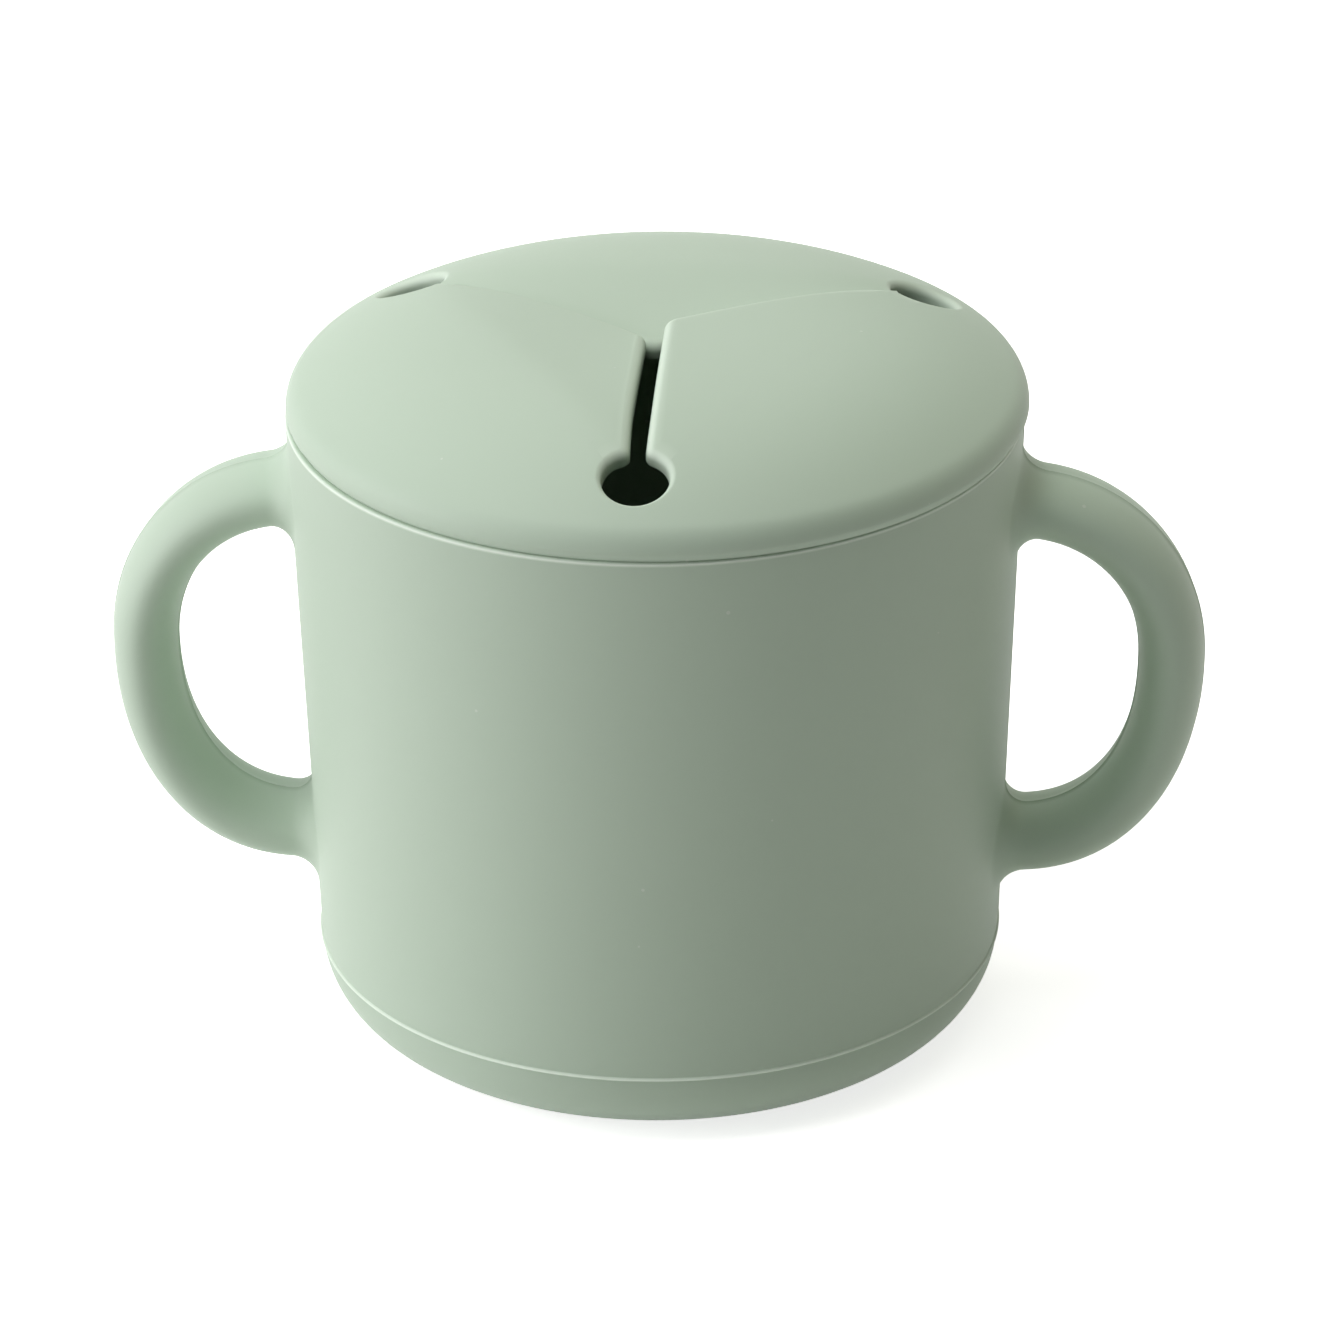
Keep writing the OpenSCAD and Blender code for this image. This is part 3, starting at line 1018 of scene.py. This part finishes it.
def silicone(name, colour, lines=()):
    """Matte silicone: drifting pigment, a blasted skin, specks of dust, and painted highlights that are
    paler.
    """
    finish = Finish(bpy.data.materials.new(name))
    place = finish.node("ShaderNodeTexCoord", out="Object")
    drift = finish.node("ShaderNodeTexNoise", sockets={"Vector": place, "Scale": drift_scale, "Detail": 3.0})
    blast = finish.node("ShaderNodeTexNoise", sockets={"Vector": place, "Scale": blast_scale, "Detail": 2.0})
    speck = specks(finish, place)
    tone = (drift - 0.5) * drift_share + (blast - 0.5) * blast_share + 0.5
    deep = [v * deepest for v in colour[:3]] + [1]
    pale = [min(v * palest, 1) for v in colour[:3]] + [1]
    base = mixed(finish, tone, deep, pale)
    dusty = mixed(finish, speck * dust_share, base, dust_colour)
    # Painted highlight: the cut edges, the raised ring and the lip are mixed towards a paler colour, for the
    # light lines they catch.
    highlighted = mixed(finish, painted_highlights(finish, place, lines), dusty, painted_highlight_colour)
    roughness = (blast - 0.5) * blast_roughness + speck * dust_roughness + plain_roughness
    height = blast + speck * dust_bump
    bump = finish.node(
        "ShaderNodeBump", sockets={"Strength": bump_strength, "Distance": bump_depth, "Height": height}
    )
    shader = finish.node(
        "ShaderNodeBsdfPrincipled",
        sockets={
            "Base Color": highlighted,
            "Roughness": roughness,
            "Normal": bump,
            "IOR": 1.41,
            "Subsurface Weight": 0.12,
            "Subsurface Radius": (0.9, 1.0, 0.85),
            "Subsurface Scale": 1.2 * MM,
            "Sheen Weight": 0.08,
            "Sheen Roughness": 0.5,
        },
    )
    finish.node("ShaderNodeOutputMaterial", sockets={"Surface": shader})
    return finish.owner


cup_silicone = silicone("cup_silicone", sage, painted_highlight_lines)
lid_silicone = silicone("lid_silicone", sage)
cup_skin.data.materials.append(cup_silicone)
for obj in [rim_skin] + [bpy.data.objects[f"flap_{side}_skin"] for side in flap_at]:
    obj.data.materials.append(lid_silicone)
print("nodes:", {made.name: len(made.node_tree.nodes) for made in (cup_silicone, lid_silicone)})

# %% [markdown]
# ## The floor
#
# The cup stands on a plain white floor. A white sheet would be lit unevenly and throw its light back at the
# cup. So the floor and the world are white where the camera, a reflection or a clear piece looks at them,
# while to light they are plain paper and a dim room: the background is clean and the cup isn't washed out.
# The floor keeps the cup's shadow near the cup and is plain white further off. From below it is clear, so
# that the base can be looked at.

# %% The floor

white = (1, 1, 1, 1)
paper_colour = (0.9, 0.9, 0.89, 1)
near_glow = (0.75, 0.75, 0.75, 1)
shadow_reach, white_reach = 0.45, 0.8
floor_size = 6.0
floor_drop = 0.05 * MM


def seen_directly(finish):
    """1 where the camera, a reflection or a clear piece looks at the room, 0 where it only lights things."""
    camera, glossy, clear = finish.node(
        "ShaderNodeLightPath", out=("Is Camera Ray", "Is Glossy Ray", "Is Transmission Ray")
    )
    return camera | glossy | clear


def white_floor():
    """Pale floor that keeps shadows, looks white where nothing shades it, and is clear from below."""
    finish = Finish(bpy.data.materials.new("floor_paper"))
    paper = finish.node("ShaderNodeBsdfDiffuse", sockets={"Color": paper_colour})
    place = finish.node("ShaderNodeTexCoord", out="Object")
    distance = finish.node("ShaderNodeVectorMath", {"operation": "LENGTH"}, {0: place}, out="Value")
    far = (distance - shadow_reach) * (1 / (white_reach - shadow_reach))
    glow_colour = mixed(finish, far, near_glow, white)
    glow = finish.node("ShaderNodeEmission", sockets={"Color": glow_colour, "Strength": 1.0})
    lit = finish.node("ShaderNodeAddShader", sockets={0: paper, 1: glow})
    shown = finish.node("ShaderNodeMixShader", sockets={0: seen_directly(finish), 1: paper, 2: lit})
    below = finish.node("ShaderNodeNewGeometry", out="Backfacing")
    clear = finish.node("ShaderNodeBsdfTransparent")
    sided = finish.node("ShaderNodeMixShader", sockets={0: below, 1: shown, 2: clear})
    finish.node("ShaderNodeOutputMaterial", sockets={"Surface": sided})
    return finish.owner


floor_mesh = bpy.data.meshes.new("floor")
half = floor_size / 2
corners = [(-half, -half), (half, -half), (half, half), (-half, half)]
floor_mesh.from_pydata([(x, y, -floor_drop) for x, y in corners], [], [(0, 1, 2, 3)])
floor = bpy.data.objects.new("floor", floor_mesh)
bpy.context.scene.collection.objects.link(floor)
floor_mesh.materials.append(white_floor())
floor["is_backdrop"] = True
print("floor, metres across:", floor_size)

# %% [markdown]
# ## The light
#
# A studio lights such a cup with large soft boxes. A picture of a room could light it too, but lamps can be
# moved one by one. Five large soft lamps light the cup: the strongest stand to the left, low and high, one
# hangs overhead, one stands behind on the left, and a weak warm one behind on the right lifts the shaded
# side.

# %% The world and the lamps

room_strength = 0.02
lamp_distance, lamp_size = 1.3, 1.0
lamp_aim = Vector((0, 0, 0.045))
lamps = {
    "overhead": (0, 88, 4.8, (1.0, 1.0, 1.0)),
    "back left": (-160, 45, 3.8, (1.0, 1.0, 1.0)),
    "upper left": (-75, 65, 5.8, (1.0, 1.0, 1.0)),
    "lower left": (-80, 15, 12.6, (1.0, 0.95, 1.0)),
    "back right": (125, 45, 1.6, (1.0, 0.85, 0.5)),
}


def room(world):
    """White where it is looked at, and a dim room where it only lights things."""
    finish = Finish(world)
    plain = finish.node("ShaderNodeBackground", sockets={"Color": white, "Strength": 1.0})
    light = finish.node("ShaderNodeBackground", sockets={"Color": white, "Strength": room_strength})
    shown = finish.node("ShaderNodeMixShader", sockets={0: seen_directly(finish), 1: light, 2: plain})
    finish.node("ShaderNodeOutputWorld", sockets={"Surface": shown})
    return world


def outwards(azimuth, elevation):
    """Direction from the cup at an azimuth, with the front at 0 and the right at 90, and an elevation."""
    a, e = math.radians(azimuth), math.radians(elevation)
    return Vector((math.sin(a) * math.cos(e), -math.cos(a) * math.cos(e), math.sin(e)))


def soft_lamp(name, azimuth, elevation, power, colour):
    """A square soft lamp that looks at the middle of the cup."""
    lamp = bpy.data.lights.new(name, "AREA")
    lamp.shape = "SQUARE"
    lamp.size = lamp_size
    lamp.energy = power
    lamp.color = colour
    obj = bpy.data.objects.new(name, lamp)
    back = outwards(azimuth, elevation)
    obj.location = lamp_aim + back * lamp_distance
    obj.rotation_euler = back.to_track_quat("Z", "Y").to_euler()
    bpy.context.scene.collection.objects.link(obj)


bpy.context.scene.world = room(bpy.data.worlds.new("studio"))
for name, (azimuth, elevation, power, colour) in lamps.items():
    soft_lamp(name, azimuth, elevation, power, colour)
print("lamps:", ", ".join(lamps))

# %% [markdown]
# ## The camera
#
# The camera could be dragged into place by hand. Here its angles, distance, roll and aim are numbers, so
# that each can be changed by itself. It looks down on the cup from far off through a long lens, which keeps
# both ears nearly the same size, and it stands nearly square to the ears, so that the front slot is a little
# to the left of the middle.

# %% The camera

camera_lens, camera_sensor = 177.6, 36
camera_distance = 821.5
camera_azimuth = 3.5
camera_elevation = 26.51
camera_roll = 0.54
camera_aim = Vector((1.57, 0.10, 44.08))

view = bpy.data.cameras.new("view")
view.sensor_width = camera_sensor
view.lens = camera_lens
camera = bpy.data.objects.new("view", view)
back = outwards(camera_azimuth, camera_elevation)
camera.location = (camera_aim + back * camera_distance) * MM
turn = (-back).to_track_quat("-Z", "Y").to_matrix() @ Matrix.Rotation(math.radians(-camera_roll), 3, "Z")
camera.rotation_euler = turn.to_euler()
bpy.context.scene.collection.objects.link(camera)
bpy.context.scene.camera = camera
bpy.context.scene.view_settings.view_transform = "Standard"
print("camera, metres:", [round(v, 3) for v in camera.location])

# %% The finished model's box, printed as the construction model's was

low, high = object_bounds()
print("finished model, mm:", [round(v / MM, 1) for v in (*low, *high)])
